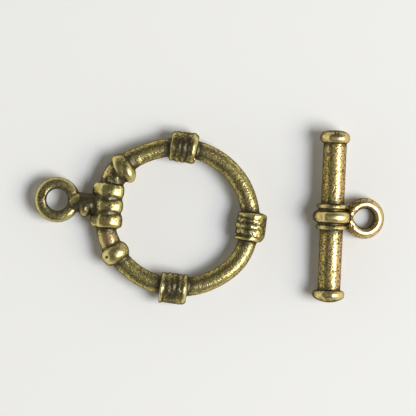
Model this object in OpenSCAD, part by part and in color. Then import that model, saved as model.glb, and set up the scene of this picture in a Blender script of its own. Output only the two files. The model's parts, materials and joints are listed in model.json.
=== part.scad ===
// Toggle clasp of cast antique brass: a ring half and a bar half that lie side by side, in millimetres.
// +Z is up. The origin is on the surface that the clasp lies on, under the middle of the pair.
// The ring half lies flat on its bands. The bar half leans on its collar, its loop and its lower cap.

/* [Hoop] */
// Diameter of the hoop, measured at the middle of its tube
hoop_d = 12.32; // [10:0.02:24]
// Diameter of the hoop's tube
tube_d = 1.57; // [1.3:0.01:2.6]

/* [Wrapped bands on the hoop] */
// How far a band stands out from the tube
band_rise = 0.6; // [0.4:0.01:1]
// Turns of wire in a band
band_turns = 5; // [3:1:7]
// Distance from one turn to the next
band_pitch = 0.45; // [0.3:0.01:0.55]
// Depth of the grooves between the turns
band_groove = 0.1; // [0.04:0.01:0.14]

/* [Knots on the hoop] */
// Width of a knot along the tube
knot_w = 1.45; // [1.1:0.01:2]
// How far the knot above the collar stands out from the tube
upper_knot_rise = 0.51; // [0.25:0.01:0.8]
// How far the knot below the collar stands out from the tube
lower_knot_rise = 0.38; // [0.25:0.01:0.8]

/* [Collar of the ring half] */
// How far the collar's ridges stand out from the tube
collar_rise = 0.57; // [0.45:0.01:0.9]
// Width of one ridge
collar_ridge_w = 1.16; // [0.9:0.01:1.4]
// Thickness of the wire that lies between two ridges
collar_wire_d = 0.24; // [0.15:0.01:0.4]
// Depth of the grooves beside the ridges
collar_groove = 0.3; // [0.15:0.01:0.4]

/* [Neck of the ring half] */
// Diameter of the neck's beads
neck_bead_d = 2; // [1.5:0.01:2.6]
// Width of one bead
neck_bead_w = 0.44; // [0.3:0.01:0.6]
// Depth of the grooves beside the beads
neck_groove = 0.12; // [0.05:0.01:0.2]

/* [Loop of the ring half] */
// Diameter of the hole that takes a jump ring
ring_hole_d = 1.91; // [1.2:0.01:3]
// Width of the metal round the hole
ring_loop_w = 0.99; // [0.7:0.01:1.6]
// Thickness of the loop, along its hole
ring_loop_t = 1.15; // [0.8:0.01:1.8]

/* [Shaft and caps of the bar half] */
// Length of the bar over its domed caps
bar_len = 14.7; // [11:0.05:26]
// Diameter of the shaft
shaft_d = 1.95; // [1.5:0.01:3]
// How far the upper cap stands out from the shaft
upper_cap_rise = 0.3; // [0.15:0.01:0.48]
// How far the lower cap stands out from the shaft
lower_cap_rise = 0.38; // [0.15:0.01:0.48]
// Thickness of a cap at its rim
cap_t = 0.92; // [0.7:0.01:1.6]
// How far a cap's end is domed past its rim
cap_dome = 0.13; // [0.06:0.01:0.3]

/* [Collar of the bar half] */
// How far the wide ridge stands out from the shaft
wide_ridge_rise = 0.62; // [0.5:0.01:1]
// Width of the wide ridge
wide_ridge_w = 1; // [0.7:0.01:2]
// Diameter of the rounding along the wide ridge's edges
wide_edge_d = 0.8; // [0.3:0.01:1]
// How far the thin ridges stand out from the shaft
thin_ridge_rise = 0.4; // [0.25:0.01:0.6]
// Width of a thin ridge
thin_ridge_w = 0.34; // [0.2:0.01:0.6]
// Width of the groove between the wide ridge and a thin one
bar_groove_w = 0.28; // [0.15:0.01:0.5]
// Depth of that groove, below the thin ridges
bar_groove_depth = 0.14; // [0.05:0.01:0.16]

/* [Loop of the bar half] */
// Diameter of the hole that takes a jump ring
bar_hole_d = 1.8; // [1.2:0.01:3]
// Width of the metal round the hole
bar_loop_w = 0.78; // [0.6:0.01:1.4]
// Thickness of the loop, along its hole
bar_loop_t = 1.15; // [0.8:0.01:1.8]
// Clear distance from the wide ridge to the hole
bar_loop_clear = 0.41; // [0.1:0.01:0.5]

/* [How the halves lie] */
// Space between the ring half and the bar half
lay_gap = 4.12; // [1:0.02:12]
// Turn of the ring half, clockwise seen from above
ring_turn = 8.3; // [0:0.1:30]
// Turn of the bar half, clockwise seen from above
bar_turn = 2.46; // [0:0.01:15]

/* [Hidden] */
$fn = 64;
olive_brass = [0.52, 0.45, 0.22];
copper_brass = [0.62, 0.47, 0.24];

// How far a broad ridge dips between its two rounded edges
crest_dip = 0.02;
// How far the metal of one feature runs into the next
bond = 0.3;
// How much thicker a band's wire is than its pitch, so that turns meet inside the groove
turn_lap = 0.05;
// Diameter of the rounding along a knot's edges
knot_round_d = 1;
// Rounding along the edges of a collar ridge and of a cap's rim, as shares of their widths
ridge_rounding = 0.7;
cap_rounding = 0.85;
// Width of the neck's beads as they lap, as a share of their spacing
bead_lap = 1.1;
// How far a cutter runs past what it cuts
through = 1;
// How much larger the circle that rounds a loop's wire is than half the wire's larger side
loop_round = 0.09;
// How far a dome's edge is sunk into the rim of its cap
dome_sunk = 0.05;

// Where the hand-made features sit on the hoop. The columns are the angle about the hoop, counted from the
// side away from the loop, the lean from the hoop's own line, and the distance outside the tube's middle
// as a share of the tube's diameter.
ANGLE = 0;
LEAN = 1;
OUTSET = 2;
bands = [
    [93.1, -3.1, -0.08],
    [1, 0, 0.1],
    [275, -5, -0.03]
];
collar_place = [178.8, 4, 0];
// A knot has its rise over the tube as a fourth column
RISE = 3;
knots = [
    [146.2, -26, 0.13, upper_knot_rise],
    [218.4, 0, 0.04, lower_knot_rise]
];

// Ring half: radii and places
hoop_r = hoop_d / 2;
tube_r = tube_d / 2;
band_r = tube_r + band_rise;
band_wire_d = band_pitch + turn_lap;
collar_r = tube_r + collar_rise;
collar_pitch = collar_ridge_w + collar_wire_d / 2;
neck_r = neck_bead_d / 2;
ring_hole_r = ring_hole_d / 2;
ring_loop_r = ring_hole_r + ring_loop_w;
neck_len = 2 * neck_bead_w;
// From the hoop's centre to the middle of the neck and of the loop
neck_at = hoop_r + collar_r + neck_len / 2 + bond / 2;
ring_reach = neck_at + neck_len / 2 + ring_loop_r;
// Height of the ring half's middle plane: it lies on whatever stands out most
knot_top_r = tube_r + max(upper_knot_rise, lower_knot_rise);
ring_z = max(band_r, collar_r, knot_top_r, neck_r, ring_loop_t / 2);

// Bar half: radii and places
shaft_r = shaft_d / 2;
upper_cap_r = shaft_r + upper_cap_rise;
lower_cap_r = shaft_r + lower_cap_rise;
cap_round_d = cap_t * cap_rounding;
cap_at = bar_len / 2 - cap_dome - cap_t / 2;
wide_ridge_r = shaft_r + wide_ridge_rise;
wide_round_d = min(wide_edge_d, wide_ridge_w);
thin_ridge_r = shaft_r + thin_ridge_rise;
bar_hole_r = bar_hole_d / 2;
bar_loop_r = bar_hole_r + bar_loop_w;
bar_reach = wide_ridge_r + bar_loop_clear + bar_hole_r;

// The bar half's pitch: the collar and the lower cap both touch the surface.
// Each touches at a round edge, a circle of its own radius with a rounding about it.
collar_edge_r = wide_ridge_r - wide_round_d / 2;
cap_edge_r = lower_cap_r - cap_round_d / 2;
cap_edge_at = cap_at + (cap_t - cap_round_d) / 2;
collar_edge_at = (wide_ridge_w - wide_round_d) / 2;
edge_drop = collar_edge_r - cap_edge_r;
edge_run = cap_edge_at - collar_edge_at;
round_gain = (wide_round_d - cap_round_d) / 2;
bar_pitch = atan2(edge_drop, edge_run) + asin(round_gain / norm([edge_drop, edge_run]));
bar_z = collar_edge_r * cos(bar_pitch) + wide_round_d / 2 + collar_edge_at * sin(bar_pitch);

// The bar half's roll: the loop's underside touches the surface where its flat ends
bar_loop_mid = (bar_hole_r + bar_loop_r) / 2;
bar_loop_round = max(bar_loop_w, bar_loop_t) / 2 + loop_round;
bar_flat_r = bar_loop_mid + sqrt(pow(bar_loop_round, 2) - pow(bar_loop_t / 2, 2));
loop_arm = [bar_reach + bar_flat_r, bar_loop_t / 2];
bar_roll = asin(bar_z / norm(loop_arm)) - atan2(loop_arm[1], loop_arm[0]);

// The pair's outer ends, from the hoop's centre, and the middle between them
bar_at = hoop_r + band_r + lay_gap + wide_ridge_r;
left_end = ring_reach * cos(ring_turn) + ring_loop_r;
right_end = bar_at + (bar_reach + bar_loop_r) * cos(bar_roll) + bar_loop_t / 2 * sin(bar_roll);
hoop_x = (left_end - right_end) / 2;

// Outline of one ridge about the Z axis, with its crest at crest_r and its edges rounded by round_d
module ridge(at, crest_r, width, round_d) {
    run = width - round_d;
    sides = run > 0 ? [-1, 1] : [0];
    for (side = sides)
        translate([crest_r - round_d / 2, at + side * run / 2])
            circle(d = round_d);
    if (run > 0)
        translate([crest_r - round_d / 2, at - run / 2])
            square([round_d / 2 - crest_dip, run]);
}

// Outline of the metal under the ridges, from the Z axis out to radius r
module core(r, length) {
    translate([0, -length / 2])
        square([r, length]);
}

// Places a feature whose own axis is Z on the hoop, along the tube, and leans it in the hoop's plane
module on_hoop(place) {
    rotate([0, 0, place[ANGLE]])
        translate([hoop_r + place[OUTSET] * tube_d, 0, 0])
            rotate([0, 0, place[LEAN]])
                rotate([-90, 0, 0])
                    children();
}

module hoop() {
    rotate_extrude()
        translate([hoop_r, 0])
            circle(d = tube_d);
}

// Wire wound round the tube, turn beside turn
module band() {
    end_wire = (band_turns - 1) / 2 * band_pitch;
    rotate_extrude() {
        core(band_r - band_groove, 2 * (end_wire + band_wire_d / 2 - band_groove));
        for (turn = [0 : band_turns - 1])
            ridge(turn * band_pitch - end_wire, band_r, band_wire_d, band_wire_d);
    }
}

module knot(rise) {
    rotate_extrude() {
        core(tube_r + rise / 2, knot_w - knot_round_d / 2);
        ridge(0, tube_r + rise, knot_w, knot_round_d);
    }
}

// Three fat ridges with a thin wire in each groove
module ring_collar() {
    round_d = collar_ridge_w * ridge_rounding;
    wire_r = collar_r - collar_groove + collar_wire_d / 3;
    rotate_extrude() {
        core(collar_r - collar_groove, 2 * collar_pitch + collar_ridge_w - collar_groove);
        for (step = [-1 : 1])
            ridge(step * collar_pitch, collar_r, collar_ridge_w, round_d);
        for (side = [-1, 1])
            ridge(side * collar_pitch / 2, wire_r, collar_wire_d, collar_wire_d);
    }
}

// Two beads on a stem that runs from inside the collar into the loop's wire
module neck() {
    stem_r = neck_r - neck_groove;
    bead = neck_bead_w * bead_lap;
    rotate([0, -90, 0]) {
        translate([0, 0, hoop_r])
            cylinder(r = stem_r, h = ring_reach - hoop_r - ring_hole_r - ring_loop_w / 2);
        translate([0, 0, neck_at])
            rotate_extrude()
                for (side = [-1, 1])
                    ridge(side * neck_bead_w / 2, neck_r, bead, bead);
    }
}

// A flat ring with rounded edges, its hole along Z
module loop(hole_r, outer_r, thick) {
    mid_r = (hole_r + outer_r) / 2;
    intersection() {
        difference() {
            cylinder(r = outer_r, h = thick, center = true);
            cylinder(r = hole_r, h = thick + 2 * through, center = true);
        }
        rotate_extrude()
            translate([mid_r, 0])
                circle(r = max(outer_r - hole_r, thick) / 2 + loop_round);
    }
}

// One end of the bar: a rounded rim round the shaft's end, and a shallow dome on it
module cap(cap_r) {
    dome_edge = cap_r - cap_round_d / 2;
    dome_depth = cap_dome + dome_sunk;
    dome_r = (pow(dome_edge, 2) + pow(dome_depth, 2)) / (2 * dome_depth);
    rotate_extrude() {
        core(cap_r - cap_round_d / 4, cap_t - cap_round_d / 2);
        ridge(0, cap_r, cap_t, cap_round_d);
    }
    intersection() {
        translate([0, 0, cap_t / 2 + cap_dome - dome_r])
            sphere(r = dome_r);
        cylinder(r = dome_edge, h = cap_t + cap_dome);
    }
}

// A wide ridge between two thin ones, in the middle of the shaft
module bar_collar() {
    thin_at = wide_ridge_w / 2 + bar_groove_w + thin_ridge_w / 2;
    rotate_extrude() {
        core(thin_ridge_r - bar_groove_depth, 2 * thin_at);
        ridge(0, wide_ridge_r, wide_ridge_w, wide_round_d);
        for (side = [-1, 1])
            ridge(side * thin_at, thin_ridge_r, thin_ridge_w, thin_ridge_w);
    }
}

// The ring half in its own place: hoop at the centre, loop along -X
module ring_casting() {
    hoop();
    for (place = bands)
        on_hoop(place)
            band();
    for (place = knots)
        on_hoop(place)
            knot(place[RISE]);
    on_hoop(collar_place)
        ring_collar();
    neck();
    translate([-ring_reach, 0, 0])
        loop(ring_hole_r, ring_loop_r, ring_loop_t);
}

// The bar half in its own place: shaft along Y, loop along +X
module bar_casting() {
    rotate([-90, 0, 0]) {
        cylinder(r = shaft_r, h = 2 * cap_at, center = true);
        bar_collar();
        translate([0, 0, cap_at])
            cap(upper_cap_r);
        mirror([0, 0, 1])
            translate([0, 0, cap_at])
                cap(lower_cap_r);
    }
    translate([bar_reach, 0, 0])
        loop(bar_hole_r, bar_loop_r, bar_loop_t);
}

module toggle_ring() {
    color(olive_brass)
        translate([hoop_x, 0, ring_z])
            rotate([0, 0, -ring_turn])
                ring_casting();
}

module toggle_bar() {
    color(copper_brass)
        translate([hoop_x + bar_at, 0, bar_z])
            rotate([0, 0, -bar_turn])
                rotate([bar_pitch, 0, 0])
                    rotate([0, bar_roll, 0])
                        bar_casting();
}

toggle_ring();
toggle_bar();
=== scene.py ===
import json
import math

import bpy
from mathutils import Euler, Matrix, Vector


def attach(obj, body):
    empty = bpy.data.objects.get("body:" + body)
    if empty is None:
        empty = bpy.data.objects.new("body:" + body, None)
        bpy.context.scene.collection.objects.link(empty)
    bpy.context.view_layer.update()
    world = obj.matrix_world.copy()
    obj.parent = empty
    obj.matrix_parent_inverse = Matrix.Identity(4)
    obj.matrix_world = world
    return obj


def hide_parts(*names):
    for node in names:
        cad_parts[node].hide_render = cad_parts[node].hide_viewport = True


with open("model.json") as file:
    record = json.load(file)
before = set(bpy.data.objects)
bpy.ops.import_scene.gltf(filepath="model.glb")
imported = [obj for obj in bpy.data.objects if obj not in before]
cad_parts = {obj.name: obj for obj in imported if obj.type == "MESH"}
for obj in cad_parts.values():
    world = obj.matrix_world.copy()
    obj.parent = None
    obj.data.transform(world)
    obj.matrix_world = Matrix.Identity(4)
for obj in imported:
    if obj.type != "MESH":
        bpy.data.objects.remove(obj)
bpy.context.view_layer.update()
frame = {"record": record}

# The clasp is modelled in millimetres, each half about its own middle, and set down in metres at the end
MM = 0.001
TURN = 2 * math.pi

# Ring half: hoop and wrapped bands. A squareness of 2 is round, and more makes a section squarer
HOOP_R = 6.16
TUBE_R = 0.785
HOOP_SQUARENESS = 2.4
HOOP_FACES = (384, 40)
BAND_R = 1.385
BAND_TURNS = 5
BAND_WIRE_R = 0.26
BAND_WIRE_REACH = (0.93, 0.97)
BAND_WIRE_TILT = 0.04
BAND_RIM_R = 0.13
BAND_RIDGE_R = 0.2
# Ring half: collar, knots, neck and loop
COLLAR_R = 1.355
COLLAR_SQUARENESS = 3.2
RIDGE_W = 1.34
RIDGE_PITCH = 1.28
GROOVE_DEPTH = 0.22
COLLAR_WIRE_R = 0.12
KNOT_SQUARENESS = 2.2
NECK_R = 0.86
NECK_LEN = 3.3
NECK_AT = (-7.9, 0.05, 0)
RING_REACH = 10.49
RING_HOLE_R = 0.955
RING_LOOP_W = 0.99
RING_LOOP_T = 1.15
RING_LOOP_SQUARENESS = 4.6
RING_LOOP_DROP = 0.3
RING_LOOP_FACES = (160, 40)
RING_TURN = 8.3

# Bar half: shaft, caps and collar
SHAFT_R = 0.995
SHAFT_OUT = 0.03
BAR_LEN = 14.7
CAP_T = 1.05
CAP_SQUARENESS = 2.2
UPPER_CAP_R = 1.275
UPPER_CAP_UP = 0.13
LOWER_CAP_R = 1.355
BAR_COLLAR_UP = 0.04
BAR_CORE_R = 1.24
WIDE_RIDGE_R = 1.595
WIDE_RIDGE_W = 1.0
WIDE_RIDGE_SQUARENESS = 2.5
THIN_RIDGE_R = 1.34
THIN_RIDGE_W = 0.38
THIN_RIDGE_AT = 0.9
# Bar half: loop
BAR_REACH = 2.905
BAR_HOLE_R = 0.86
BAR_LOOP_W = 0.9
BAR_LOOP_T = 1.15
BAR_LOOP_SQUARENESS = 2.7
BAR_LOOP_DROP = 0.4
BAR_LOOP_FACES = (144, 36)
BAR_POINT_DEPTH = 0.1
BAR_TURN = 2.46
# How far the bar's shaft leans to the right for each millimetre up
SHAFT_LEAN = 0.043

# Flats worn on the ridges and the shaft: angle from the top, in degrees, and share of the radius
COLLAR_FLATS = [(42.0, 0.95), (2.0, 0.94), (-21.0, 1.02)]
BAR_FLATS = [(-55.0, 0.97), (-14.0, 0.96), (7.0, 1.02)]
SHAFT_FLATS = [(-13.0, 0.965)]

# The bands on the hoop. Angle about the hoop and lean are in degrees, and outset is outwards from its
# middle. A barrel, moved outwards by rubbed, fills the turns to groove below their tops, and they draw in
# by taper at the ends. A thin rim and a bold ridge stay: where along the band, how far in and outwards
BANDS = [
    {
        "angle": 93.1, "lean": -3.1, "outset": -0.12, "seed": 3,
        "pitch": 0.45, "groove": 0.11, "rubbed": 0.05, "taper": 0.05,
        "rim": {"at": 1.02, "in": 0.1, "out": -0.02},
        "ridge": {"at": -0.76, "in": 0.02, "out": 0.04},
    },
    {
        "angle": 1.0, "lean": 0.0, "outset": 0.16, "seed": 8,
        "pitch": 0.49, "groove": 0.2, "rubbed": 0.14, "taper": 0.14,
        "rim": {"at": -1.08, "in": 0.16, "out": -0.12},
        "ridge": {"at": 0.94, "in": 0.12, "out": 0.06},
    },
    {
        "angle": 275.0, "lean": -5.0, "outset": -0.04, "seed": 5,
        "pitch": 0.45, "groove": 0.11, "rubbed": 0.05, "taper": 0.04,
        "rim": {"at": -1.02, "in": 0.02, "out": 0.08},
        "ridge": {"at": 0.88, "in": 0.06, "out": -0.02},
    },
]
# The other features on the hoop, placed in the same way
COLLAR = {"angle": 178.8, "lean": 4.0, "outset": 0.0}
UPPER_KNOT = {"angle": 146.2, "lean": -28.0, "outset": 0.22, "length": 1.4, "radius": 1.26}
LOWER_KNOT = {"angle": 218.4, "lean": 0.0, "outset": 0.06, "length": 1.55, "radius": 1.22}

# How the hoop strays from a true round tube: where, over what angle, how far out and how much fatter
STRAYS = [
    {"angle": 154.0, "width": 9.0, "out": 0.2, "fat": 0.25},
    {"angle": 137.3, "width": 7.0, "out": 0.12, "fat": 0.02},
    {"angle": 208.0, "width": 8.0, "out": 0.03, "fat": 0.09},
    {"angle": 333.3, "width": 12.0, "out": 0.12, "fat": 0.0},
]
# The hoop is also a little oval, wider towards this angle
OVAL = 0.142
OVAL_AT = -7.4

# Where each half lies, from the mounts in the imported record
mounts = {mount["name"]: mount for mount in frame["record"]["mounts"]}
ring_turn = Matrix.Rotation(math.radians(-RING_TURN), 4, "Z")
ring_place = Matrix.Translation(Vector(mounts["ring_loop"]["pos_m"])) @ ring_turn
ring_place = ring_place @ Matrix.Translation((RING_REACH * MM, 0, 0))
bar_turn = Matrix.Rotation(math.radians(-BAR_TURN), 4, "Z")
loop_axis = bar_turn.inverted() @ Vector(mounts["bar_loop"]["axis"])
bar_roll = Matrix.Rotation(math.asin(loop_axis.x), 4, "Y")
bar_pitch = Matrix.Rotation(math.atan2(-loop_axis.y, loop_axis.z), 4, "X")
bar_place = Matrix.Translation(Vector(mounts["bar_loop"]["pos_m"])) @ bar_turn @ bar_pitch @ bar_roll
bar_place = bar_place @ Matrix.Translation((-BAR_REACH * MM, 0, 0))


def placed(place, rows):
    """Rows whose places, seen on the lying clasp, are turned into a casting's own millimetres."""
    own = []
    for row in rows:
        x, y = row["at"]
        spot = place.inverted() @ Vector((x * MM, y * MM, place.translation.z))
        own.append({**row, "at": (spot.x / MM, spot.y / MM)})
    return own


# What casting and wear left on each half. Places are millimetres on the lying clasp, seen from above.
# Faults are bumps and wire ends: height over the half's middle, half sizes and turn in degrees
RING_FAULTS = [
    {"at": (-7.68, -0.37), "height": 0.1, "size": (0.14, 0.55, 0.5), "turn": 4.0},
    {"at": (-7.12, 4.05), "height": 0.3, "size": (0.68, 1.13, 1.02), "turn": 30.0},
    {"at": (-10.76, 0.84), "height": 0.24, "size": (0.6, 0.8, 0.98), "turn": 4.0},
    {"at": (-10.1, 1.05), "height": 0.0, "size": (0.32, 0.8, 0.78), "turn": -6.0},
    {"at": (-1.27, 4.93), "height": 0.83, "size": (0.07, 0.24, 0.09), "turn": 45.0},
    {"at": (-6.06, 4.76), "height": 0.76, "size": (0.26, 0.08, 0.1), "turn": -12.0},
    {"at": (-6.25, 4.88), "height": 0.76, "size": (0.08, 0.16, 0.1), "turn": 40.0},
    {"at": (-8.0, 3.21), "height": 0.78, "size": (0.11, 0.13, 0.1), "turn": 0.0},
    {"at": (-8.0, 2.87), "height": 0.78, "size": (0.1, 0.09, 0.1), "turn": 0.0},
    {"at": (-11.38, 1.8), "height": 0.64, "size": (0.1, 0.2, 0.13), "turn": -20.0},
    {"at": (-11.75, 1.62), "height": 0.6, "size": (0.24, 0.09, 0.12), "turn": 15.0},
    {"at": (-14.2, 1.83), "height": 0.56, "size": (0.06, 0.4, 0.06), "turn": -20.0},
]
BAR_FAULTS = [
    {"at": (12.3, 0.58), "height": 0.55, "size": (0.12, 0.16, 0.16), "turn": 30.0},
]
# Dents are pressed into the upper side, and rough places are pitted
RING_DENTS = [
    {"at": (-8.86, -3.43), "radius": 0.12, "depth": 0.16},
    {"at": (-8.75, 3.45), "radius": 0.2, "depth": 0.08},
    {"at": (-8.35, 3.75), "radius": 0.16, "depth": 0.08},
]
BAR_DENTS = [
    {"at": (12.27, -0.75), "radius": 0.13, "depth": 0.1},
]
RING_ROUGH = [
    {"at": (-2.2, 6.05), "radius": 1.0, "depth": 0.1},
    {"at": (-3.1, -6.15), "radius": 1.0, "depth": 0.12},
    {"at": (3.55, -0.8), "radius": 1.2, "depth": 0.2},
    {"at": (-8.7, 3.6), "radius": 0.8, "depth": 0.22},
    {"at": (-10.7, 1.2), "radius": 0.9, "depth": 0.2},
    {"at": (-8.4, 1.0), "radius": 1.6, "depth": 0.07},
]
BAR_ROUGH = [
    {"at": (12.2, 0.0), "radius": 0.5, "depth": 0.14},
]
# Grime and painted light: above nothing a row darkens the metal, as grime and as painted shade over
# the loops, the neck bead and the band middles; below nothing it cleans it, as painted highlights and
# reflections.
RING_GRIME_AND_PAINTED_LIGHT = [
    {"at": (-10.4, 1.75), "radius": 0.6, "depth": 1.3},
    {"at": (-13.14, 1.51), "radius": 1.45, "depth": 1.0},
    {"at": (-8.7, -1.9), "radius": 0.7, "depth": -1.1},
    {"at": (-6.8, 3.8), "radius": 0.7, "depth": -0.6},
    {"at": (-10.05, 2.4), "radius": 0.3, "depth": 0.8},
    {"at": (-10.15, -0.25), "radius": 0.3, "depth": 0.7},
    {"at": (-10.95, 0.75), "radius": 0.5, "depth": 0.55},
    {"at": (-10.2, 0.85), "radius": 0.35, "depth": 1.2},
    {"at": (-11.15, 1.35), "radius": 0.35, "depth": 0.9},
    {"at": (-11.8, 0.4), "radius": 0.35, "depth": -1.0},
    {"at": (-11.55, 1.7), "radius": 0.3, "depth": -2.2},
    {"at": (-9.45, 2.35), "radius": 0.5, "depth": -0.8},
    {"at": (-9.45, 0.95), "radius": 0.45, "depth": -1.0},
    {"at": (-8.9, -3.2), "radius": 0.5, "depth": -0.5},
    {"at": (-8.6, 3.5), "radius": 0.75, "depth": -0.6},
    {"at": (-2.25, 6.1), "radius": 0.95, "depth": 0.95},
    {"at": (-3.15, -6.2), "radius": 0.95, "depth": 0.85},
    {"at": (3.4, -0.8), "radius": 0.9, "depth": 0.5},
]


def along_shaft(x, radius, depth):
    """Marks up the bar's shaft, which leans a little, at x where it passes the middle."""
    rows = []
    for y in (6.0, 4.8, 3.6, 2.4, -2.2, -3.4, -4.6, -5.8):
        rows.append({"at": (x + SHAFT_LEAN * y, y), "radius": radius, "depth": depth})
    return rows


# Grime and painted light on the bar: grime and painted shade in its loop, under its cap and by its collar
BAR_GRIME_AND_PAINTED_LIGHT = [
    # Cleaner metal down the shaft's left side: a painted reflection that brightens the streak there
    *along_shaft(10.25, 0.6, -0.35),
    {"at": (12.1, 0.0), "radius": 0.35, "depth": 0.5},
    {"at": (13.45, -0.1), "radius": 0.75, "depth": 1.5},
    {"at": (10.5, 0.0), "radius": 0.75, "depth": -0.4},
    {"at": (10.65, 7.1), "radius": 0.5, "depth": 0.6},
    {"at": (10.45, 1.0), "radius": 0.5, "depth": 0.6},
    {"at": (10.4, -0.85), "radius": 0.5, "depth": 0.7},
    {"at": (9.95, -6.7), "radius": 0.45, "depth": 0.5},
    {"at": (12.9, 1.5), "radius": 0.7, "depth": 0.45},
]
# Copper shows through here, and the same tone is a painted warm sheen where highlights fall
RING_COPPER_AND_SHEEN = [
    {"at": (-8.7, -1.9), "radius": 0.75, "depth": 0.65},
    {"at": (-8.7, 3.5), "radius": 0.7, "depth": 0.4},
    {"at": (-1.2, 4.95), "radius": 0.25, "depth": 1.0},
]
BAR_COPPER_AND_SHEEN = [
    # On the bar the copper tone is mostly a painted warm sheen, on its loop's crest and along its shaft
    {"at": (13.5, -0.15), "radius": 1.6, "depth": 1.0},
    # Along the shaft's right side, where the key light's highlight falls: a painted highlight tint
    *along_shaft(11.35, 0.8, 0.8),
]


class Field:
    """What a node gives. Arithmetic on it adds Math nodes, or Vector Math nodes for vectors."""

    def __init__(self, graph, socket):
        self.graph = graph
        self.socket = socket

    def __add__(self, other):
        return self.graph.maths("ADD", self, other)

    def __radd__(self, other):
        return self.graph.maths("ADD", other, self)

    def __sub__(self, other):
        return self.graph.maths("SUBTRACT", self, other)

    def __rsub__(self, other):
        return self.graph.maths("SUBTRACT", other, self)

    def __mul__(self, other):
        return self.graph.maths("MULTIPLY", self, other)

    def __rmul__(self, other):
        return self.graph.maths("MULTIPLY", other, self)

    def __truediv__(self, other):
        return self.graph.maths("DIVIDE", self, other)

    def __rtruediv__(self, other):
        return self.graph.maths("DIVIDE", other, self)

    def __pow__(self, other):
        return self.graph.maths("POWER", self, other)

    def __neg__(self):
        return self.graph.maths("MULTIPLY", self, -1.0)

    def also(self, name):
        """Another output of the same node."""
        return self.graph.output(self.socket.node, name)

    def apply(self, operation, *others):
        return self.graph.maths(operation, self, *others)

    def dot(self, other):
        settings = {"operation": "DOT_PRODUCT"}
        return self.graph.add("ShaderNodeVectorMath", settings, {0: self, 1: other}, "Value")

    def length(self):
        return self.graph.add("ShaderNodeVectorMath", {"operation": "LENGTH"}, {0: self}, "Value")

    def rise(self, low, high):
        """0 below low and 1 above high, with a smooth rise between them. High may be the smaller."""
        values = {"Value": self, "From Min": low, "From Max": high}
        return self.graph.add("ShaderNodeMapRange", {"interpolation_type": "SMOOTHSTEP"}, values)

    def limited(self):
        return self.graph.add("ShaderNodeClamp", {}, {"Value": self})


class Graph:
    """Adds nodes to one node tree."""

    def __init__(self, tree):
        self.tree = tree

    def add(self, kind, settings=None, values=None, out=None):
        """A new node: its settings first, then its sockets' values or links. Gives one of its outputs."""
        node = self.tree.nodes.new(kind)
        for name, setting in (settings or {}).items():
            if name == "stops":
                self.set_stops(node.color_ramp, setting)
            elif name == "points":
                self.set_points(node.mapping, setting)
            else:
                setattr(node, name, setting)
        for name, value in (values or {}).items():
            self.fill(node, name, value)
        return self.output(node, out)

    def set_stops(self, ramp, stops):
        while len(ramp.elements) < len(stops):
            ramp.elements.new(1.0)
        for element, (place, colour) in zip(ramp.elements, stops):
            element.position = place
            element.color = (*colour, 1.0)

    def set_points(self, mapping, points):
        curve = mapping.curves[0]
        while len(curve.points) < len(points):
            curve.points.new(0.5, 0.5)
        for point, (x, y) in zip(curve.points, points):
            point.location = (x, y)
            point.handle_type = "AUTO_CLAMPED"
        mapping.update()

    def fill(self, node, name, value):
        socket = node.inputs[name] if isinstance(name, int) else self.named(node.inputs, name)
        for part in value if isinstance(value, list) else [value]:
            if isinstance(part, Field):
                self.tree.links.new(part.socket, socket)
            elif socket.type == "RGBA":
                socket.default_value = (*part, 1.0)
            elif socket.type == "VECTOR" and isinstance(part, (int, float)):
                socket.default_value = (part, part, part)
            else:
                socket.default_value = part

    def named(self, sockets, name):
        return next(s for s in sockets if s.enabled and (name is None or s.name == name))

    def output(self, node, name):
        if not len(node.outputs):
            return node
        return Field(self, self.named(node.outputs, name))

    def maths(self, operation, *parts):
        fields = [part for part in parts if isinstance(part, Field)]
        vector = any(field.socket.type in ("VECTOR", "RGBA") for field in fields)
        vector = vector or any(isinstance(part, tuple) for part in parts)
        kind = "ShaderNodeVectorMath" if vector else "ShaderNodeMath"
        return self.add(kind, {"operation": operation}, dict(enumerate(parts)))

    def parts_of(self, vector):
        split = self.add("ShaderNodeSeparateXYZ", {}, {0: vector}, "X")
        return split, split.also("Y"), split.also("Z")

    def joined(self, x, y, z):
        return self.add("ShaderNodeCombineXYZ", {}, {0: x, 1: y, 2: z})

    def noise(self, where, size, detail, roughness, seed):
        """Noise whose grains are about size across, from 0 to 1."""
        values = {"Vector": where, "W": seed, "Scale": 1.0 / size}
        values.update({"Detail": detail, "Roughness": roughness})
        return self.add("ShaderNodeTexNoise", {"noise_dimensions": "4D"}, values, "Fac")


def geometry_tree(name, sizes, build):
    """A Geometry Nodes tree with a named input for each size, realized and given its material."""
    tree = bpy.data.node_groups.new(name, "GeometryNodeTree")
    tree.is_modifier = True
    face = tree.interface
    face.new_socket("Geometry", in_out="OUTPUT", socket_type="NodeSocketGeometry")
    face.new_socket("Geometry", in_out="INPUT", socket_type="NodeSocketGeometry")
    kinds = {int: "NodeSocketInt", float: "NodeSocketFloat", bpy.types.Material: "NodeSocketMaterial"}
    for label, value in sizes.items():
        face.new_socket(label, in_out="INPUT", socket_type=kinds[type(value)])
    graph = Graph(tree)
    start = graph.add("NodeGroupInput", out="Geometry")
    given = {label: start.also(label) for label in sizes}
    shape = graph.add("GeometryNodeRealizeInstances", {}, {"Geometry": build(graph, start, given)})
    shape = graph.add("GeometryNodeSetMaterial", {}, {"Geometry": shape, "Material": given["Material"]})
    graph.add("NodeGroupOutput", {}, {"Geometry": shape})
    return tree


def give_tree(piece, name, sizes, build):
    """Puts a tree on a piece as a modifier, with its inputs set."""
    tree = geometry_tree(name, sizes, build)
    modifier = piece.modifiers.new(name, "NODES")
    modifier.node_group = tree
    for item in tree.interface.items_tree:
        if item.in_out == "INPUT" and item.name in sizes:
            modifier[item.identifier] = sizes[item.name]


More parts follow.
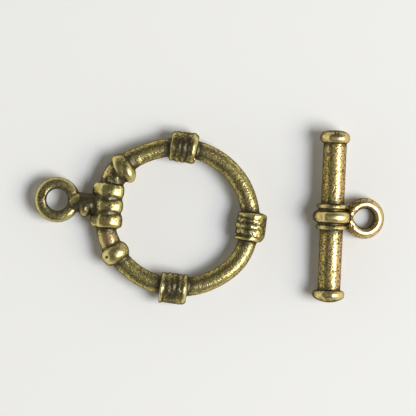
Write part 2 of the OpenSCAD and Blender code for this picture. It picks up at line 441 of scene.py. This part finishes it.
# Shapes that both castings are made of
ROUND = 2.0
TURNED_FACES = (72, 48)
WIRE_FACES = (72, 16)
BUMP_FACES = (32, 20)
# How softly a worn flat runs out into the round, and the cosine at which it is let go
FLAT_EDGE = 0.1
FLAT_LIMIT = 0.2
# How near two points are one
SAME_POINT = 0.0005


def on_grid(graph, around, across):
    """A closed grid of faces with the two angles of each point, from 0 to a full turn."""
    grid = {"Size X": 1.0, "Size Y": 1.0, "Vertices X": around + 1, "Vertices Y": across + 1}
    place = graph.add("GeometryNodeInputPosition")
    x, y, _ = graph.parts_of(place)
    return graph.add("GeometryNodeMeshGrid", {}, grid, "Mesh"), (x + 0.5) * TURN, (y + 0.5) * TURN


def shaped(graph, grid, place):
    shape = graph.add("GeometryNodeSetPosition", {}, {"Geometry": grid, "Position": place})
    return graph.add("GeometryNodeMergeByDistance", {}, {"Geometry": shape, "Distance": SAME_POINT})


def boxy(wave, squareness):
    """A sine or cosine whose wave is made squarer, for a section with flat sides and rounded corners."""
    return wave.apply("SIGN") * wave.apply("ABSOLUTE") ** (ROUND / squareness)


def swept_ring(graph, sizes, faces, squareness, outer_drop=0.0):
    """A closed ring about Z. sizes() takes the angle and gives the middle radius and the half width and
    height. The ring grows thinner towards its outer edge by the share outer_drop."""
    grid, angle, side = on_grid(graph, *faces)
    middle, half_width, half_height = sizes(angle)
    radius = middle + half_width * boxy(side.apply("COSINE"), squareness)
    outer = side.apply("COSINE").rise(-0.1, 1.0)
    height = half_height * boxy(side.apply("SINE"), squareness) * (1.0 - outer * outer_drop)
    place = graph.joined(radius * angle.apply("COSINE"), radius * angle.apply("SINE"), height)
    return shaped(graph, grid, place)


def wire_ring(graph, radius, wire_r):
    """A plain ring of round wire about Z."""
    around, across = WIRE_FACES
    circle = graph.add("GeometryNodeCurvePrimitiveCircle", {}, {"Resolution": around, "Radius": radius})
    wire = graph.add("GeometryNodeCurvePrimitiveCircle", {}, {"Resolution": across, "Radius": wire_r})
    return graph.add("GeometryNodeCurveToMesh", {}, {"Curve": circle, "Profile Curve": wire})


def turned(graph, outline, length, radius, squareness=ROUND, flats=()):
    """A solid turned about Z. The outline's rows are shares of the length and of the radius, and flats are
    filed on it at angles from -Y, each at a share of the radius."""
    grid, angle, along = on_grid(graph, *TURNED_FACES)
    share = 0.5 - 0.5 * (along * 0.5).apply("COSINE")
    cosine = angle.apply("COSINE")
    sine = angle.apply("SINE")
    points = [(0, 0), *outline, (1, 0)]
    reach = radius * graph.add("ShaderNodeFloatCurve", {"points": points}, {"Value": share})
    swell = reach
    if squareness != ROUND:
        spread = cosine.apply("ABSOLUTE") ** squareness + sine.apply("ABSOLUTE") ** squareness
        reach = reach * spread ** (-1.0 / squareness)
    for tilt, depth in flats:
        facing = (angle - math.radians(270.0 + tilt)).apply("COSINE").apply("MAXIMUM", FLAT_LIMIT)
        reach = reach.apply("SMOOTH_MIN", swell * depth / facing, FLAT_EDGE)
    return shaped(graph, grid, graph.joined(reach * cosine, reach * sine, (share - 0.5) * length))


def moved(graph, shape, at=(0, 0, 0), turn=(0, 0, 0), size=(1, 1, 1)):
    """A shape scaled, turned by angles in degrees and set at a place."""
    rotation = tuple(math.radians(angle) for angle in turn)
    values = {"Geometry": shape, "Rotation": rotation, "Translation": at, "Scale": size}
    return graph.add("GeometryNodeTransform", {}, values)


def fault(graph, row):
    """A small bump or wire end left by the casting."""
    around, across = BUMP_FACES
    sphere = {"Segments": around, "Rings": across, "Radius": 1.0}
    ball = graph.add("GeometryNodeMeshUVSphere", {}, sphere, "Mesh")
    return moved(graph, ball, (*row["at"], row["height"]), (0, 0, row["turn"]), row["size"])


def together(graph, shapes):
    return graph.add("GeometryNodeJoinGeometry", {}, {"Geometry": shapes})


# Ring half
def bump_at(angle, row):
    """1 at the row's angle, falling to 0 over its width."""
    sharpness = 1.0 / math.radians(row["width"]) ** 2
    return ((angle - math.radians(row["angle"])).apply("COSINE") * sharpness - sharpness).apply("EXPONENT")


def hoop(graph, given):
    def sizes(angle):
        middle = given["Hoop radius"] + OVAL * ((angle - math.radians(OVAL_AT)) * 2.0).apply("COSINE")
        tube = given["Tube radius"]
        for row in STRAYS:
            stray = bump_at(angle, row)
            middle = middle + row["out"] * stray
            tube = tube + row["fat"] * stray
        return middle, tube, tube
    return swept_ring(graph, sizes, HOOP_FACES, HOOP_SQUARENESS)


def on_hoop(graph, shape, row):
    """Sets a shape whose axis is Z on the hoop, along its tube, and leans it."""
    shape = moved(graph, shape, (HOOP_R + row["outset"], 0, 0), (-90, 0, row["lean"]))
    return moved(graph, shape, turn=(0, 0, row["angle"]))


def band(graph, given, row):
    """Wire wound round the tube, its turns worn down between the two wires that stay at its ends."""
    turns = given["Band turns"]
    pitch = row["pitch"]
    end = (turns - 1.0) * pitch * 0.5
    line = {
        "Count": turns,
        "Start Location": graph.joined(0.0, 0.0, -end),
        "Offset": graph.joined(0.0, 0.0, pitch),
    }
    least, most = BAND_WIRE_REACH
    worn = {"Min": least, "Max": most, "Seed": row["seed"]}
    away = graph.add("GeometryNodeInputIndex") / ((turns - 1.0) * 0.5) - 1.0
    reach = graph.add("FunctionNodeRandomValue", {"data_type": "FLOAT"}, worn) - away * away * row["taper"]
    lean = BAND_WIRE_TILT
    tilt = {"Min": (-lean, -lean, 0.0), "Max": (lean, lean, TURN), "Seed": row["seed"] + 1}
    values = {
        "Points": graph.add("GeometryNodeMeshLine", {"mode": "OFFSET", "count_mode": "TOTAL"}, line),
        "Instance": wire_ring(graph, given["Band radius"] - BAND_WIRE_R, BAND_WIRE_R),
        "Rotation": graph.add("FunctionNodeRandomValue", {"data_type": "FLOAT_VECTOR"}, tilt),
        "Scale": graph.joined(reach, reach, 1.0),
    }
    wires = graph.add("GeometryNodeInstanceOnPoints", {}, values)
    barrel = [(0.01, 0.7), (0.05, 0.82), (0.12, 0.92), (0.24, 1.0)]
    barrel += [(1.0 - along, share) for along, share in reversed(barrel)]
    core = turned(graph, barrel, (end + BAND_WIRE_R) * 2.0, given["Band radius"] - row["groove"])
    shapes = [wires, moved(graph, core, (row["rubbed"], 0, 0))]
    for wire, wire_r in ((row["rim"], BAND_RIM_R), (row["ridge"], BAND_RIDGE_R)):
        ring = wire_ring(graph, given["Band radius"] - wire_r - wire["in"], wire_r)
        shapes.append(moved(graph, ring, (wire["out"], 0, wire["at"])))
    return together(graph, shapes)


def ring_collar(graph, given):
    """Three fat ridges, flattened on top, with a thin wire in each groove."""
    outline = [(0.02, 0.76), (0.1, 0.88), (0.26, 0.98), (0.5, 1.0), (0.74, 0.98), (0.9, 0.88), (0.98, 0.76)]
    core_r = given["Collar radius"] - GROOVE_DEPTH
    shapes = [turned(graph, [(0.02, 1.0), (0.98, 1.0)], 2 * RIDGE_PITCH + RIDGE_W * 0.6, core_r)]
    for step in (-1, 0, 1):
        ridge = turned(graph, outline, RIDGE_W, given["Collar radius"], COLLAR_SQUARENESS, COLLAR_FLATS)
        shapes.append(moved(graph, ridge, (0, 0, step * RIDGE_PITCH)))
    for side in (-0.5, 0.5):
        wire = wire_ring(graph, core_r, COLLAR_WIRE_R)
        shapes.append(moved(graph, wire, (0, 0, side * RIDGE_PITCH)))
    return together(graph, shapes)


def knots(graph):
    """The upper knot has a sharp rim towards the collar and a bulb inside the hoop. The lower is a bead."""
    cup = [(0.02, 0.6), (0.1, 0.78), (0.25, 0.9), (0.45, 0.98), (0.7, 1.0), (0.88, 0.96), (0.98, 0.82)]
    bead = [(0.02, 0.66), (0.1, 0.82), (0.3, 0.97), (0.5, 1.0), (0.7, 0.97), (0.9, 0.82), (0.98, 0.66)]
    shapes = []
    for outline, row in ((cup, UPPER_KNOT), (bead, LOWER_KNOT)):
        knot = turned(graph, outline, row["length"], row["radius"], KNOT_SQUARENESS)
        shapes.append(on_hoop(graph, knot, row))
    return together(graph, shapes)


def neck_and_loop(graph, given):
    """A flat loop on a thick neck, along -X."""
    neck = [(0.02, 0.9), (0.2, 0.97), (0.6, 1.0), (0.8, 0.96), (0.9, 0.84), (0.98, 0.62)]
    stem = moved(graph, turned(graph, neck, NECK_LEN, NECK_R), NECK_AT, (0, -90, 0))
    half_w = given["Ring loop width"] * 0.5

    def sizes(_):
        return given["Ring hole radius"] + half_w, half_w, given["Ring loop thickness"] * 0.5
    loop = swept_ring(graph, sizes, RING_LOOP_FACES, RING_LOOP_SQUARENESS, RING_LOOP_DROP)
    return together(graph, [stem, moved(graph, loop, (-RING_REACH, 0, 0))])


def ring_casting(graph, _, given):
    shapes = [hoop(graph, given), on_hoop(graph, ring_collar(graph, given), COLLAR)]
    shapes += [on_hoop(graph, band(graph, given, row), row) for row in BANDS]
    shapes += [knots(graph), neck_and_loop(graph, given)]
    shapes += [fault(graph, row) for row in placed(ring_place, RING_FAULTS)]
    return together(graph, shapes)


# Bar half
def bar_loop(graph, given):
    """A thick loop whose hole runs to a point beside the collar."""
    half_w = given["Bar loop width"] * 0.5
    point = {"angle": 180.0, "width": 16.0}

    def sizes(angle):
        notch = bump_at(angle, point) * BAR_POINT_DEPTH
        return given["Bar hole radius"] + half_w + notch, half_w - notch, given["Bar loop thickness"] * 0.5
    loop = swept_ring(graph, sizes, BAR_LOOP_FACES, BAR_LOOP_SQUARENESS, BAR_LOOP_DROP)
    return moved(graph, loop, (BAR_REACH, 0, 0))


def bar_collar(graph, given):
    """A wide ridge between two thin ones, on a plain core."""
    wide = [(0.02, 0.8), (0.12, 0.92), (0.3, 0.985), (0.5, 1.0), (0.7, 0.985), (0.88, 0.92), (0.98, 0.8)]
    shapes = [
        turned(graph, [(0.02, 0.96), (0.98, 0.96)], 2 * THIN_RIDGE_AT, BAR_CORE_R),
        turned(graph, wide, given["Wide ridge width"], WIDE_RIDGE_R, WIDE_RIDGE_SQUARENESS, BAR_FLATS),
    ]
    for side in (-1, 1):
        thin = wire_ring(graph, THIN_RIDGE_R - THIN_RIDGE_W / 2, THIN_RIDGE_W / 2)
        shapes.append(moved(graph, thin, (0, 0, side * THIN_RIDGE_AT)))
    return together(graph, shapes)


def bar_casting(graph, _, given):
    """The shaft runs along Y and the loop along X."""
    rim = [(0.02, 0.84), (0.1, 0.93), (0.24, 0.985), (0.4, 1.0)]
    rim += [(0.56, 0.98), (0.72, 0.9), (0.86, 0.76), (0.98, 0.46)]
    dome = [(0.04, 0.3), (0.15, 0.6), (0.28, 0.82), (0.42, 0.95)]
    dome += [(0.55, 1.0), (0.72, 1.0), (0.9, 0.95), (0.98, 0.86)]
    between = BAR_LEN - CAP_T
    shaft = turned(graph, [(0.02, 0.98), (0.98, 1.04)], between, given["Shaft radius"], ROUND, SHAFT_FLATS)
    upper_cap = turned(graph, rim, CAP_T, UPPER_CAP_R, CAP_SQUARENESS, BAR_FLATS)
    lower_cap = turned(graph, dome, CAP_T, LOWER_CAP_R, CAP_SQUARENESS, BAR_FLATS)
    shapes = [
        moved(graph, shaft, (SHAFT_OUT, 0, 0)),
        moved(graph, upper_cap, (0, 0, between * 0.5 + UPPER_CAP_UP)),
        moved(graph, lower_cap, (0, 0, -between * 0.5)),
        moved(graph, bar_collar(graph, given), (0, 0, BAR_COLLAR_UP)),
    ]
    bar = moved(graph, together(graph, shapes), turn=(-90, 0, 0))
    faults = [fault(graph, row) for row in placed(bar_place, BAR_FAULTS)]
    return together(graph, [bar, bar_loop(graph, given), *faults])


# Cast finish of both halves. Hollows of three sizes are told apart by how far the shape is smoothed
HOLLOWS = (("edge", 5), ("hollow", 45), ("nook", 240))
LUMP_SIZE = 0.7
GRAIN_SIZE = 0.22
PIT_SIZE = 0.34


def near(graph, x, y, row):
    """1 at the row's place, falling to 0 over its radius."""
    away = graph.joined(x - row["at"][0], y - row["at"][1], 0.0).length() / row["radius"]
    return (away * away * -1.0).apply("EXPONENT")


def cast_finish(marks):
    """Gives the function that rounds a casting's edges, roughens it and stores how hollow it is."""
    def build(graph, shape, given):
        place = graph.add("GeometryNodeInputPosition")
        normal = graph.add("GeometryNodeInputNormal", out="Normal")

        def blurred(steps):
            values = {"Value": place, "Iterations": steps, "Weight": 1.0}
            return graph.add("GeometryNodeBlurAttribute", {"data_type": "FLOAT_VECTOR"}, values)
        values = {"Geometry": shape, "Position": blurred(given["Smoothing"])}
        shape = graph.add("GeometryNodeSetPosition", {}, values)
        seed = given["Seed"] + 0.5
        lumps = (graph.noise(place, LUMP_SIZE, 2.0, 0.5, seed) - 0.5) * given["Lump depth"]
        grain = (graph.noise(place, GRAIN_SIZE, 3.0, 0.6, seed + 7.0) - 0.5) * given["Grain depth"]
        pits = graph.noise(place, PIT_SIZE, 1.0, 0.5, seed + 3.0) - 0.5
        height = lumps + grain + given["Swell"]
        x, y, z = graph.parts_of(place)
        for row in marks["rough"]:
            height = height + near(graph, x, y, row) * pits * row["depth"]
        upper_side = z.rise(-0.2, 0.2)
        for row in marks["dents"]:
            height = height - upper_side * near(graph, x, y, row) * row["depth"]
        values = {"Geometry": shape, "Offset": normal * height}
        shape = graph.add("GeometryNodeSetPosition", {}, values)
        kept = {name: (blurred(steps) - place).dot(normal) for name, steps in HOLLOWS}
        # How steep the surface is; the material darkens steep flanks with it as painted shade
        kept["side"] = 1.0 - graph.parts_of(normal)[2].apply("ABSOLUTE")
        # Rows of grime and painted light, and of copper and painted sheen, that the material colours by
        for name in ("grime", "copper"):
            kept[name] = sum(near(graph, x, y, row) * row["depth"] for row in marks[name])
        settings = {"data_type": "FLOAT", "domain": "POINT"}
        for name, value in kept.items():
            values = {"Geometry": shape, "Name": name, "Value": value}
            shape = graph.add("GeometryNodeStoreNamedAttribute", settings, values)
        return graph.add("GeometryNodeSetShadeSmooth", {}, {"Geometry": shape, "Shade Smooth": True})
    return build


def cast(name, casting, sizes, finish, marks, voxel, place, material):
    """Builds one casting with its trees, bakes it to a plain mesh and sets it down in the frame."""
    blank = bpy.data.objects.new(name + "_blank", bpy.data.meshes.new(name + "_blank"))
    bpy.context.scene.collection.objects.link(blank)
    give_tree(blank, name + " casting", {**sizes, "Material": material}, casting)
    skin = blank.modifiers.new("one skin", "REMESH")
    skin.mode = "VOXEL"
    skin.voxel_size = voxel
    skin.use_smooth_shade = True
    own_marks = {kind: placed(place, rows) for kind, rows in marks.items()}
    give_tree(blank, name + " finish", {**finish, "Material": material}, cast_finish(own_marks))
    evaluated = blank.evaluated_get(bpy.context.evaluated_depsgraph_get())
    mesh = bpy.data.meshes.new_from_object(evaluated)
    bpy.data.objects.remove(blank)
    mesh.name = name
    mesh.transform(place @ Matrix.Scale(MM, 4))
    mesh.materials.clear()
    mesh.materials.append(material)
    piece = bpy.data.objects.new(name, mesh)
    bpy.context.scene.collection.objects.link(piece)
    return piece


# Materials. Patches of warmer brass and the mottled patina have sizes in millimetres, and some patina
# covers even plain metal. A finish has its colours, then how far in or out a point must lie to be sheltered
# or exposed, then the speckle of its patina, whose size is in millimetres and depth in metres
# Colour of copper showing through, also laid as a painted warm sheen along highlights
COPPER_AND_SHEEN_TONE = (0.82, 0.54, 0.3)
PATCH_SIZE = 0.9
MOTTLE_SIZE = 0.3
PLAIN_COVER = 0.28
RING_BRASS = {
    "dull": (0.6, 0.515, 0.165), "bright": (0.8, 0.7, 0.3),
    "patina": (0.145, 0.123, 0.07), "warm": (0.57, 0.43, 0.19),
    "sheltered": (-0.155, -0.05), "exposed": (0.03, 0.075), "edge wear": 0.8,
    "speckle": 1.4, "speckle size": 0.12, "speckle depth": 0.000027, "seed": 11.0,
}
BAR_BRASS = {
    "dull": (0.6, 0.48, 0.13), "bright": (0.83, 0.68, 0.3),
    "patina": (0.135, 0.113, 0.06), "warm": (0.66, 0.48, 0.2),
    "sheltered": (-0.075, 0.02), "exposed": (0.021, 0.032), "edge wear": 0.35,
    "speckle": 2.5, "speckle size": 0.13, "speckle depth": 0.000027, "seed": 23.0,
}


def antique_brass(name, look):
    """Cast brass with patina in its hollows, worn bright edges, and painted shade and highlights."""
    material = bpy.data.materials.new(name)
    material.use_nodes = True
    material.node_tree.nodes.clear()
    graph = Graph(material.node_tree)
    where = graph.add("ShaderNodeTexCoord", out="Object") * (1.0 / MM)
    names = ("edge", "hollow", "nook", "side", "grime", "copper")
    kept = [graph.add("ShaderNodeAttribute", {"attribute_name": name}, out="Fac") for name in names]
    edge, hollow, nook, side, grime, copper = kept
    patches = graph.noise(where, PATCH_SIZE, 3.0, 0.6, look["seed"])
    mottle = graph.noise(where, MOTTLE_SIZE, 3.0, 0.65, look["seed"] + 1.0)
    specks = graph.noise(where, look["speckle size"], 1.0, 0.6, look["seed"] + 2.0)

    def mixed(factor, first, second):
        values = {"Factor": factor, "A": first, "B": second}
        return graph.add("ShaderNodeMix", {"data_type": "RGBA"}, values)
    speckle = specks.rise(0.32, 0.68) - 0.5
    blotch = mottle.rise(0.3, 0.7) - 0.5
    worn_edge = (-edge).rise(0.006, 0.016) * look["edge wear"]
    rubbed = (worn_edge + (-hollow).rise(*look["exposed"]) * 0.95).limited()
    patina_and_painted_light = hollow.rise(-0.02, 0.03) * 0.6 + nook.rise(*look["sheltered"]) * 0.85
    # Steep flanks darkened as painted shade for the shadowed floor they reflect, plus the grime and light
    # rows
    patina_and_painted_light = patina_and_painted_light + side.rise(0.4, 0.85) * 0.7 + grime
    grains = (speckle * look["speckle"] + blotch * 0.25) * (1.0 - rubbed * 0.8)
    cover = (patina_and_painted_light + grains + PLAIN_COVER - rubbed * 0.25).rise(0.0, 0.85)
    tone = mixed(patches.rise(0.42, 0.66), look["dull"], look["warm"])
    tone = mixed(rubbed, tone, look["bright"])
    # Copper tone, which also paints a warm sheen where the rows follow highlights
    tone = mixed((copper * (speckle * 0.6 + 1.0)).limited(), tone, COPPER_AND_SHEEN_TONE)
    # Where patina and painted light lie the tone is darkened again, deepening the painted shade
    tone = mixed(cover, tone, look["patina"]) * (1.0 - patina_and_painted_light.limited() * 0.2)
    relief = (specks + mottle * 0.25) * (1.0 - rubbed * 0.6)
    bump = {"Strength": 1.0, "Distance": look["speckle depth"], "Height": relief}
    values = {
        "Base Color": tone,
        "Metallic": 1.0,
        "Roughness": 0.29 + cover * 0.14 + blotch * 0.06,
        "Specular Tint": (0.5, 0.44, 0.36),
        "Normal": graph.add("ShaderNodeBump", {}, bump),
    }
    surface = graph.add("ShaderNodeBsdfPrincipled", {}, values)
    graph.add("ShaderNodeOutputMaterial", {}, {"Surface": surface})
    return material


# The studio, in metres
FLOOR_SIZE = 1.2
LAMP_DISTANCE = 0.8
CAMERA_DISTANCE = 0.3
# What the photograph takes in at the clasp's mid height, and the middle of it
VIEW_WIDTH = 0.03586
VIEW_MIDDLE = (-0.000155, 0.000797, 0.0014)


def plain_floor():
    """A pale, dull sheet that the clasp lies on."""
    mesh = bpy.data.meshes.new("floor")
    half = FLOOR_SIZE / 2
    corners = [(-half, -half, 0), (half, -half, 0), (half, half, 0), (-half, half, 0)]
    mesh.from_pydata(corners, [], [(0, 1, 2, 3)])
    floor = bpy.data.objects.new("floor", mesh)
    bpy.context.scene.collection.objects.link(floor)
    material = bpy.data.materials.new("pale floor")
    material.use_nodes = True
    surface = material.node_tree.nodes["Principled BSDF"]
    surface.inputs["Base Color"].default_value = (0.895, 0.89, 0.862, 1.0)
    surface.inputs["Roughness"].default_value = 0.9
    surface.inputs["Specular IOR Level"].default_value = 0.2
    mesh.materials.append(material)


def softbox(name, tilt, azimuth, size, power, colour):
    """A soft light that faces the clasp from LAMP_DISTANCE, tilt degrees from straight above it."""
    light = bpy.data.lights.new(name, "AREA")
    light.shape = "RECTANGLE"
    light.size, light.size_y = size
    light.energy = power
    light.color = colour
    lamp = bpy.data.objects.new(name, light)
    turn = Euler((0, math.radians(tilt), math.radians(azimuth)), "XYZ")
    lamp.rotation_euler = turn
    lamp.location = turn.to_matrix() @ Vector((0, 0, LAMP_DISTANCE))
    bpy.context.scene.collection.objects.link(lamp)


def studio():
    """Two soft lights on the right, and a room that is dark overhead and dimmer to the front and back."""
    softbox("key", tilt=33, azimuth=-18, size=(0.27, 0.42), power=4.9, colour=(0.9, 0.93, 1.0))
    softbox("side", tilt=50, azimuth=-16, size=(0.24, 0.46), power=1.6, colour=(1.0, 0.91, 0.7))
    world = bpy.data.worlds.new("room")
    world.use_nodes = True
    world.node_tree.nodes.clear()
    graph = Graph(world.node_tree)
    across, along, height = graph.parts_of(graph.add("ShaderNodeTexCoord", out="Generated"))
    ahead = along * along / (across * across + along * along + 0.001)
    grey = [(0.0, 0.5), (0.15, 0.76), (0.32, 0.82), (0.46, 0.42), (0.62, 0.16), (1.0, 0.12)]
    stops = [(place, (level, level * 0.985, level * 0.92)) for place, level in grey]
    room = graph.add("ShaderNodeValToRGB", {"stops": stops}, {"Fac": height}, "Color")
    glow = graph.add("ShaderNodeBackground", {}, {"Color": room, "Strength": 1.28 - ahead * 0.76})
    graph.add("ShaderNodeOutputWorld", {}, {"Surface": glow})
    bpy.context.scene.world = world
    bpy.context.scene.view_settings.view_transform = "Standard"


def overhead_camera():
    """Looks straight down."""
    camera = bpy.data.cameras.new("camera")
    camera.sensor_width = 36.0
    camera.lens = camera.sensor_width * CAMERA_DISTANCE / VIEW_WIDTH
    camera.clip_start = 0.005
    holder = bpy.data.objects.new("camera", camera)
    holder.location = Vector(VIEW_MIDDLE) + Vector((0, 0, CAMERA_DISTANCE))
    bpy.context.scene.collection.objects.link(holder)
    bpy.context.scene.camera = holder


RING_MARKS = {"dents": RING_DENTS, "rough": RING_ROUGH, "grime": RING_GRIME_AND_PAINTED_LIGHT, "copper": RING_COPPER_AND_SHEEN}
BAR_MARKS = {"dents": BAR_DENTS, "rough": BAR_ROUGH, "grime": BAR_GRIME_AND_PAINTED_LIGHT, "copper": BAR_COPPER_AND_SHEEN}
RING_SIZES = {
    "Hoop radius": HOOP_R, "Tube radius": TUBE_R, "Band radius": BAND_R, "Band turns": BAND_TURNS,
    "Collar radius": COLLAR_R, "Ring hole radius": RING_HOLE_R,
    "Ring loop width": RING_LOOP_W, "Ring loop thickness": RING_LOOP_T,
}
BAR_SIZES = {
    "Shaft radius": SHAFT_R, "Wide ridge width": WIDE_RIDGE_W, "Bar hole radius": BAR_HOLE_R,
    "Bar loop width": BAR_LOOP_W, "Bar loop thickness": BAR_LOOP_T,
}
RING_FINISH = {"Smoothing": 3, "Swell": 0.01, "Lump depth": 0.045, "Grain depth": 0.008, "Seed": 4.0}
BAR_FINISH = {"Smoothing": 3, "Swell": 0.01, "Lump depth": 0.025, "Grain depth": 0.006, "Seed": 9.0}
RING_VOXEL = 0.068
BAR_VOXEL = 0.052

ring = cast(
    "toggle_ring_brass", ring_casting, RING_SIZES, RING_FINISH, RING_MARKS, RING_VOXEL, ring_place,
    antique_brass("ring brass", RING_BRASS))
bar = cast(
    "toggle_bar_brass", bar_casting, BAR_SIZES, BAR_FINISH, BAR_MARKS, BAR_VOXEL, bar_place,
    antique_brass("bar brass", BAR_BRASS))

for piece, node, slot in ((ring, "toggle_ring", "ring_brass"), (bar, "toggle_bar", "bar_brass")):
    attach(piece, "root")
    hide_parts(node)

plain_floor()
studio()
overhead_camera()
